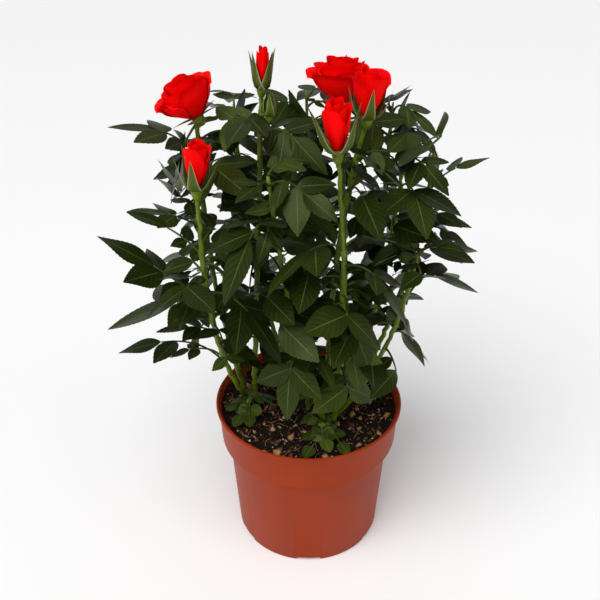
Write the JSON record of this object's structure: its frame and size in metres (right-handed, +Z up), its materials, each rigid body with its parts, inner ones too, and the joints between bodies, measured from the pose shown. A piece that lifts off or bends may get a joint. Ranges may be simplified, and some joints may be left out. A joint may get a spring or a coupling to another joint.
{
  "type": "potted rose bush",
  "caption": "Miniature rose bush with red blooms and buds above leafy green canes, rooted in dark compost in a terracotta-coloured plastic nursery pot.",
  "frame": {"origin": "centre of the pot's flat underside, on the surface that the pot stands on", "axes": "+Z up the pot's axis to the blooms, -Y the front, +X the right-hand side seen from the front"},
  "size_m": [0.2173, 0.17, 0.3235],
  "materials": {
    "pot": "smooth moulded plastic with a low sheen",
    "soil": "rough damp compost with flecks of bark and white grit",
    "stems": "satin green bark",
    "foliage": "satin dark green leaf",
    "blooms": "velvety red petals in green sepals"
  },
  "bodies": {
    "root": {"cane_back_centre": "stems", "cane_back_left": "stems", "cane_back_right": "stems", "cane_centre_left": "stems", "cane_centre_right": "stems", "cane_far_right": "stems", "cane_front_centre": "stems", "cane_front_left": "stems", "cane_front_right": "stems", "cane_left": "stems", "cane_right": "stems", "cane_right_half_open": "stems", "cane_right_low": "stems", "foliage_back_centre": "foliage", "foliage_back_left": "foliage", "foliage_back_right": "foliage", "foliage_basal_front": "foliage", "foliage_basal_left": "foliage", "foliage_centre_left": "foliage", "foliage_centre_right": "foliage", "foliage_far_right": "foliage", "foliage_front_centre": "foliage", "foliage_front_left": "foliage", "foliage_front_right": "foliage", "foliage_left": "foliage", "foliage_right": "foliage", "foliage_right_half_open": "foliage", "foliage_right_low": "foliage", "pot": "pot", "rose_centre_left": "blooms", "rose_centre_right": "blooms", "rose_far_right": "blooms", "rose_front_left": "blooms", "rose_front_right": "blooms", "rose_left": "blooms", "rose_right_half_open": "blooms", "soil": "soil", "stock_back": "stems", "stock_front": "stems", "stock_left": "stems", "stock_right": "stems"}
  },
  "joints": []
}
